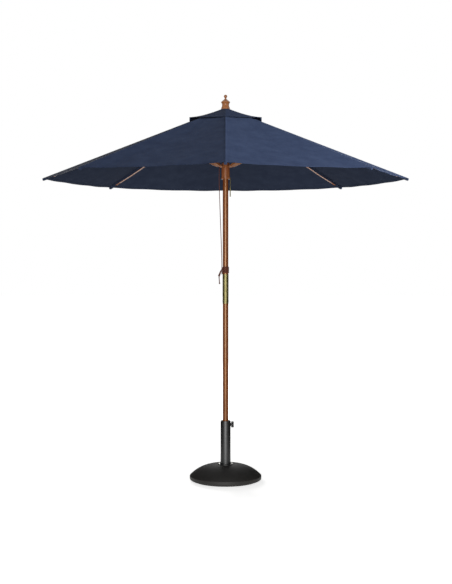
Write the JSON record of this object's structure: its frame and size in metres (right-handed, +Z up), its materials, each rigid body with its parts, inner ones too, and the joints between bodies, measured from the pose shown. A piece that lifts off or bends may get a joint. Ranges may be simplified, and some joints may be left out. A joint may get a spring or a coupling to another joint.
{
  "type": "patio umbrella with base",
  "caption": "Wooden patio umbrella with a vented octagonal canopy on a folding rib frame, a two-piece pole with a brass ferrule, and a domed weighted foot with a clamp tube.",
  "frame": {"origin": "on the ground, at the centre of the foot's underside", "axes": "+Z up along the pole, -Y towards the front rib, +X towards the clamp knob"},
  "size_m": [2.5, 2.5, 2.6393],
  "materials": {
    "foot_concrete": "matte",
    "foot_rubber": "matte",
    "tube_paint": "satin",
    "bolt_steel": "satin",
    "adaptor_plastic": "matte",
    "knob_plastic": "satin",
    "pole_wood": "satin",
    "ferrule_brass": "polished",
    "hub_wood": "satin",
    "finial_wood": "satin",
    "rib_wood": "satin",
    "canopy_cloth": "matte",
    "cord_fibre": "matte"
  },
  "bodies": {
    "base": {"foot_weight": "foot_concrete", "foot_ring": "foot_rubber", "tube_flange": "tube_paint", "flange_bolts": "bolt_steel", "base_tube": "tube_paint", "pole_adaptor": "adaptor_plastic", "clamp_nut": "tube_paint"},
    "clamp": {"clamp_knob": "knob_plastic", "clamp_screw": "bolt_steel"},
    "lower_pole": {"lower_pole": "pole_wood", "ferrule": "ferrule_brass", "ferrule_nails": "ferrule_brass"},
    "upper_pole": {"upper_pole": "pole_wood", "top_hub": "hub_wood", "top_hub_wire": "bolt_steel", "finial": "finial_wood", "sheave_axle": "bolt_steel", "vent_cap": "canopy_cloth", "pull_cord": "cord_fibre", "cord_winding": "cord_fibre", "cord_tail": "cord_fibre", "cord_knot": "cord_fibre"},
    "sheave": {"sheave": "adaptor_plastic"},
    "rib_1": {"rib_1": "rib_wood", "clevis_1": "ferrule_brass", "canopy_panel_1": "canopy_cloth"},
    "rib_2": {"rib_2": "rib_wood", "clevis_2": "ferrule_brass", "canopy_panel_2": "canopy_cloth"},
    "rib_3": {"rib_3": "rib_wood", "clevis_3": "ferrule_brass", "canopy_panel_3": "canopy_cloth"},
    "rib_4": {"rib_4": "rib_wood", "clevis_4": "ferrule_brass", "canopy_panel_4": "canopy_cloth"},
    "rib_5": {"rib_5": "rib_wood", "clevis_5": "ferrule_brass", "canopy_panel_5": "canopy_cloth"},
    "rib_6": {"rib_6": "rib_wood", "clevis_6": "ferrule_brass", "canopy_panel_6": "canopy_cloth"},
    "rib_7": {"rib_7": "rib_wood", "clevis_7": "ferrule_brass", "canopy_panel_7": "canopy_cloth"},
    "rib_8": {"rib_8": "rib_wood", "clevis_8": "ferrule_brass", "canopy_panel_8": "canopy_cloth"},
    "strut_1": {"strut_1": "rib_wood"},
    "strut_2": {"strut_2": "rib_wood"},
    "strut_3": {"strut_3": "rib_wood"},
    "strut_4": {"strut_4": "rib_wood"},
    "strut_5": {"strut_5": "rib_wood"},
    "strut_6": {"strut_6": "rib_wood"},
    "strut_7": {"strut_7": "rib_wood"},
    "strut_8": {"strut_8": "rib_wood"},
    "runner": {"runner": "hub_wood", "runner_wire": "bolt_steel", "chain_eyelet": "bolt_steel"},
    "lock_pin": {"pin_chain": "bolt_steel", "lock_pin": "bolt_steel"}
  },
  "joints": [
    {"name": "pole_lift", "type": "slide", "parent": "base", "child": "lower_pole", "axis": [0, 0, 1], "range_m": [0, 0.29]},
    {"name": "upper_pole_lift", "type": "slide", "parent": "lower_pole", "child": "upper_pole", "axis": [0, 0, 1], "range_m": [0, 0.1]},
    {"name": "clamp_turn", "type": "hinge", "parent": "base", "child": "clamp", "pos_m": [0.04, 0, 0.386], "axis": [1, 0, 0], "range_deg": [0, 450]},
    {"name": "sheave_spin", "type": "hinge", "parent": "upper_pole", "child": "sheave", "pos_m": [0, 0, 2.455], "axis": [0.3827, -0.9239, 0], "continuous": true},
    {"name": "rib_1_fold", "type": "hinge", "parent": "upper_pole", "child": "rib_1", "pos_m": [0, -0.0247, 2.527], "axis": [1, 0, 0], "range_deg": [0, 63.6], "deforming": ["canopy_panel_1", "canopy_panel_2", "canopy_panel_3", "canopy_panel_4", "canopy_panel_5", "canopy_panel_6", "canopy_panel_7", "canopy_panel_8", "vent_cap", "pull_cord"]},
    {"name": "rib_2_fold", "type": "hinge", "parent": "upper_pole", "child": "rib_2", "pos_m": [0.01747, -0.01747, 2.527], "axis": [0.7071, 0.7071, 0], "range_deg": [0, 63.6]},
    {"name": "rib_3_fold", "type": "hinge", "parent": "upper_pole", "child": "rib_3", "pos_m": [0.0247, 0, 2.527], "axis": [0, 1, 0], "range_deg": [0, 63.6]},
    {"name": "rib_4_fold", "type": "hinge", "parent": "upper_pole", "child": "rib_4", "pos_m": [0.01747, 0.01747, 2.527], "axis": [-0.7071, 0.7071, 0], "range_deg": [0, 63.6]},
    {"name": "rib_5_fold", "type": "hinge", "parent": "upper_pole", "child": "rib_5", "pos_m": [0, 0.0247, 2.527], "axis": [-1, 0, 0], "range_deg": [0, 63.6]},
    {"name": "rib_6_fold", "type": "hinge", "parent": "upper_pole", "child": "rib_6", "pos_m": [-0.01747, 0.01747, 2.527], "axis": [-0.7071, -0.7071, 0], "range_deg": [0, 63.6]},
    {"name": "rib_7_fold", "type": "hinge", "parent": "upper_pole", "child": "rib_7", "pos_m": [-0.0247, 0, 2.527], "axis": [0, -1, 0], "range_deg": [0, 63.6]},
    {"name": "rib_8_fold", "type": "hinge", "parent": "upper_pole", "child": "rib_8", "pos_m": [-0.01747, -0.01747, 2.527], "axis": [0.7071, -0.7071, 0], "range_deg": [0, 63.6]},
    {"name": "strut_1_fold", "type": "hinge", "parent": "rib_1", "child": "strut_1", "pos_m": [0, -0.46526, 2.33646], "axis": [1, 0, 0], "range_deg": [-127.2, 0]},
    {"name": "strut_2_fold", "type": "hinge", "parent": "rib_2", "child": "strut_2", "pos_m": [0.32899, -0.32899, 2.33646], "axis": [0.7071, 0.7071, 0], "range_deg": [-127.2, 0]},
    {"name": "strut_3_fold", "type": "hinge", "parent": "rib_3", "child": "strut_3", "pos_m": [0.46526, 0, 2.33646], "axis": [0, 1, 0], "range_deg": [-127.2, 0]},
    {"name": "strut_4_fold", "type": "hinge", "parent": "rib_4", "child": "strut_4", "pos_m": [0.32899, 0.32899, 2.33646], "axis": [-0.7071, 0.7071, 0], "range_deg": [-127.2, 0]},
    {"name": "strut_5_fold", "type": "hinge", "parent": "rib_5", "child": "strut_5", "pos_m": [0, 0.46526, 2.33646], "axis": [-1, 0, 0], "range_deg": [-127.2, 0]},
    {"name": "strut_6_fold", "type": "hinge", "parent": "rib_6", "child": "strut_6", "pos_m": [-0.32899, 0.32899, 2.33646], "axis": [-0.7071, -0.7071, 0], "range_deg": [-127.2, 0]},
    {"name": "strut_7_fold", "type": "hinge", "parent": "rib_7", "child": "strut_7", "pos_m": [-0.46526, 0, 2.33646], "axis": [0, -1, 0], "range_deg": [-127.2, 0]},
    {"name": "strut_8_fold", "type": "hinge", "parent": "rib_8", "child": "strut_8", "pos_m": [-0.32899, -0.32899, 2.33646], "axis": [0.7071, -0.7071, 0], "range_deg": [-127.2, 0]},
    {"name": "runner_slide", "type": "hinge", "parent": "strut_1", "child": "runner", "pos_m": [0, -0.0247, 2.14592], "axis": [1, 0, 0], "range_deg": [0, 63.6]},
    {"name": "pin_swing", "type": "hinge", "parent": "runner", "child": "lock_pin", "pos_m": [0.0316, -0.01309, 2.07245], "axis": [-0.3827, -0.9239, 0], "range_deg": [0, 60]}
  ],
  "couplings": [
    {"joint": "rib_2_fold", "follows": "rib_1_fold", "ratio": 1},
    {"joint": "rib_3_fold", "follows": "rib_1_fold", "ratio": 1},
    {"joint": "rib_4_fold", "follows": "rib_1_fold", "ratio": 1},
    {"joint": "rib_5_fold", "follows": "rib_1_fold", "ratio": 1},
    {"joint": "rib_6_fold", "follows": "rib_1_fold", "ratio": 1},
    {"joint": "rib_7_fold", "follows": "rib_1_fold", "ratio": 1},
    {"joint": "rib_8_fold", "follows": "rib_1_fold", "ratio": 1},
    {"joint": "strut_1_fold", "follows": "rib_1_fold", "ratio": -2},
    {"joint": "strut_2_fold", "follows": "rib_1_fold", "ratio": -2},
    {"joint": "strut_3_fold", "follows": "rib_1_fold", "ratio": -2},
    {"joint": "strut_4_fold", "follows": "rib_1_fold", "ratio": -2},
    {"joint": "strut_5_fold", "follows": "rib_1_fold", "ratio": -2},
    {"joint": "strut_6_fold", "follows": "rib_1_fold", "ratio": -2},
    {"joint": "strut_7_fold", "follows": "rib_1_fold", "ratio": -2},
    {"joint": "strut_8_fold", "follows": "rib_1_fold", "ratio": -2},
    {"joint": "runner_slide", "follows": "rib_1_fold", "ratio": 1}
  ]
}
